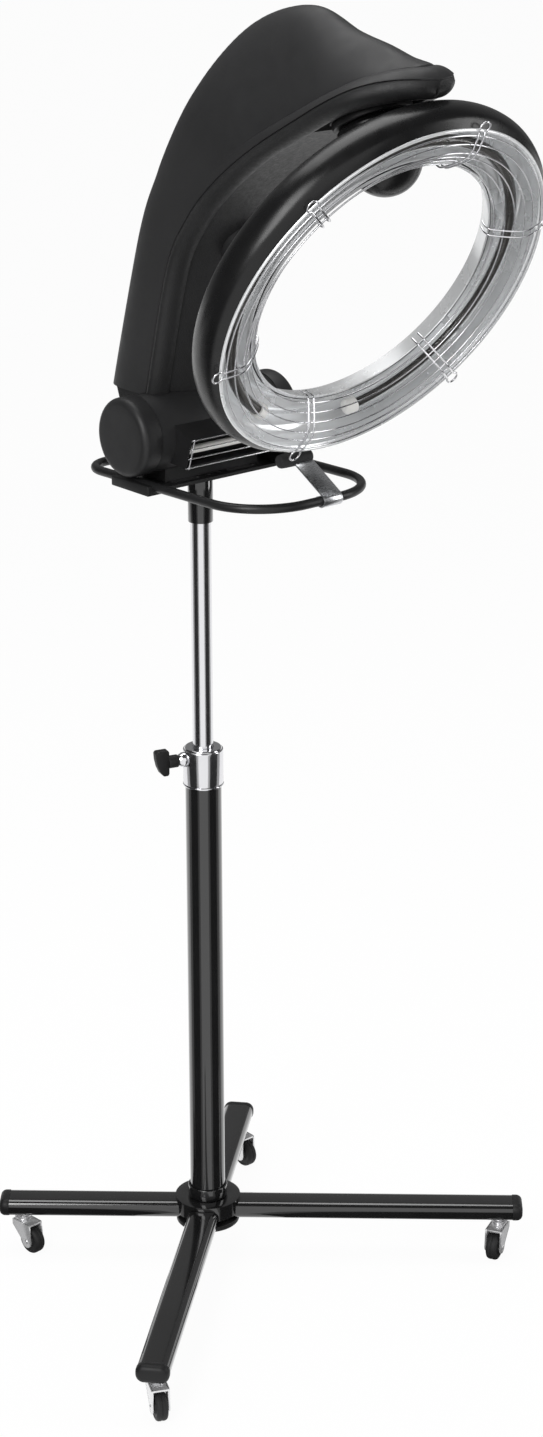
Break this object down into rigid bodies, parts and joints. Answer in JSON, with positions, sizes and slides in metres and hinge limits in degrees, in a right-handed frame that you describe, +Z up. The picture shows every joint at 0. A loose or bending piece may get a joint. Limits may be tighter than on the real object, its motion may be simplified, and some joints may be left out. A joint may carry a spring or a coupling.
{
  "type": "hair color processor",
  "caption": "Salon hair processor: an infrared halo ring that orbits under an arched hood, with a tilting drum head on a height-adjustable mast and a rolling base.",
  "frame": {"origin": "on the floor, on the axis of the mast", "axes": "+Z up along the mast, -Y to the front where the client sits, +X to the client's left"},
  "size_m": [0.6368, 0.622, 1.6177],
  "materials": {
    "black_gloss_paint": "gloss",
    "black_satin_paint": "satin",
    "black_satin_plastic": "satin",
    "black_gloss_plastic": "gloss",
    "charcoal_gloss_plastic": "semi-gloss",
    "charcoal_grained_plastic": "fine leather grain",
    "chrome": "polished",
    "bright_steel": "brushed",
    "reflector_aluminium": "bright rolled",
    "quartz": "clear",
    "white_ceramic": "smooth ceramic",
    "pad_rubber": "matte",
    "wheel_rubber": "matte"
  },
  "bodies": {
    "base": {"hub_top_disc": "black_gloss_paint", "hub_lower_plate": "black_satin_plastic", "tube_sleeve": "black_gloss_paint", "arm_front_left": "black_gloss_paint", "arm_front_right": "black_gloss_paint", "arm_rear_left": "black_gloss_paint", "arm_rear_right": "black_gloss_paint", "arm_cap_front_left": "black_satin_plastic", "arm_cap_front_right": "black_satin_plastic", "arm_cap_rear_left": "black_satin_plastic", "arm_cap_rear_right": "black_satin_plastic", "outer_tube": "black_gloss_paint", "clamp_foot_ring": "chrome", "clamp_collar": "chrome", "clamp_lip": "chrome", "clamp_boss": "chrome"},
    "fork_front_left": {"caster_fork_front_left": "chrome"},
    "fork_front_right": {"caster_fork_front_right": "chrome"},
    "fork_rear_left": {"caster_fork_rear_left": "chrome"},
    "fork_rear_right": {"caster_fork_rear_right": "chrome"},
    "wheel_front_left": {"caster_wheel_front_left": "wheel_rubber"},
    "wheel_front_right": {"caster_wheel_front_right": "wheel_rubber"},
    "wheel_rear_left": {"caster_wheel_rear_left": "wheel_rubber"},
    "wheel_rear_right": {"caster_wheel_rear_right": "wheel_rubber"},
    "knob": {"clamp_knob": "black_satin_plastic"},
    "mast": {"inner_tube": "chrome"},
    "bracket": {"top_collar": "black_gloss_paint", "tray_plate": "black_satin_paint", "bumper_loop": "black_satin_paint", "loop_block_left": "black_satin_plastic", "loop_block_right": "black_satin_plastic", "bumper_strap": "bright_steel", "bumper_pad": "pad_rubber", "tilt_saddle": "black_satin_plastic"},
    "head": {"drum_housing": "black_gloss_plastic", "drum_cap_left": "black_gloss_plastic", "drum_cap_right": "black_gloss_plastic", "nape_shroud": "black_satin_plastic", "nape_heater": "white_ceramic", "nape_guard": "chrome", "hood_rear_shell": "charcoal_gloss_plastic", "hood_front_cover": "charcoal_grained_plastic", "panel_boss": "charcoal_grained_plastic", "hood_neck": "black_satin_plastic", "rotor_seat": "black_satin_plastic"},
    "halo": {"rotor_hub": "black_gloss_plastic", "rotor_dome": "black_gloss_plastic", "ring_lug": "black_satin_plastic", "ring_shell": "black_gloss_plastic", "ring_reflector": "reflector_aluminium", "heater_tube": "quartz", "heater_end_left": "white_ceramic", "heater_end_right": "white_ceramic", "ring_guard": "chrome", "ring_clip_1": "chrome", "ring_clip_2": "chrome", "ring_clip_3": "chrome", "ring_clip_4": "chrome", "ring_clip_5": "chrome", "ring_clip_6": "chrome"}
  },
  "joints": [
    {"name": "caster_swivel_front_left", "type": "hinge", "parent": "base", "child": "fork_front_left", "pos_m": [-0.28491, -0.25296, 0.045], "axis": [0, 0, 1], "continuous": true},
    {"name": "caster_swivel_front_right", "type": "hinge", "parent": "base", "child": "fork_front_right", "pos_m": [0.28491, -0.25296, 0.045], "axis": [0, 0, 1], "continuous": true},
    {"name": "caster_swivel_rear_left", "type": "hinge", "parent": "base", "child": "fork_rear_left", "pos_m": [-0.18172, 0.16133, 0.045], "axis": [0, 0, 1], "continuous": true},
    {"name": "caster_swivel_rear_right", "type": "hinge", "parent": "base", "child": "fork_rear_right", "pos_m": [0.18172, 0.16133, 0.045], "axis": [0, 0, 1], "continuous": true},
    {"name": "caster_roll_front_left", "type": "hinge", "parent": "fork_front_left", "child": "wheel_front_left", "pos_m": [-0.29252, -0.26927, 0.018], "axis": [0.9063, -0.4226, 0], "continuous": true},
    {"name": "caster_roll_front_right", "type": "hinge", "parent": "fork_front_right", "child": "wheel_front_right", "pos_m": [0.26887, -0.26113, 0.018], "axis": [0.454, -0.891, 0], "continuous": true},
    {"name": "caster_roll_rear_left", "type": "hinge", "parent": "fork_rear_left", "child": "wheel_rear_left", "pos_m": [-0.18015, 0.1434, 0.018], "axis": [0.9962, 0.0872, 0], "continuous": true},
    {"name": "caster_roll_rear_right", "type": "hinge", "parent": "fork_rear_right", "child": "wheel_rear_right", "pos_m": [0.18172, 0.14333, 0.018], "axis": [1, 0, 0], "continuous": true},
    {"name": "clamp_knob_turn", "type": "hinge", "parent": "base", "child": "knob", "pos_m": [0, 0, 0.6915], "axis": [-0.9613, 0.2756, 0], "range_deg": [0, 360]},
    {"name": "mast_slide", "type": "slide", "parent": "base", "child": "mast", "axis": [0, 0, 1], "range_m": [-0.28, 0.12]},
    {"name": "mast_swivel", "type": "hinge", "parent": "mast", "child": "bracket", "pos_m": [0, 0, 1.02], "axis": [0, 0, 1], "continuous": true},
    {"name": "head_tilt", "type": "hinge", "parent": "bracket", "child": "head", "pos_m": [0, 0, 1.115], "axis": [1, 0, 0], "range_deg": [-25, 4]},
    {"name": "halo_orbit", "type": "hinge", "parent": "head", "child": "halo", "pos_m": [0, -0.32, 1.465], "axis": [0, -0.4384, -0.8988], "continuous": true}
  ]
}
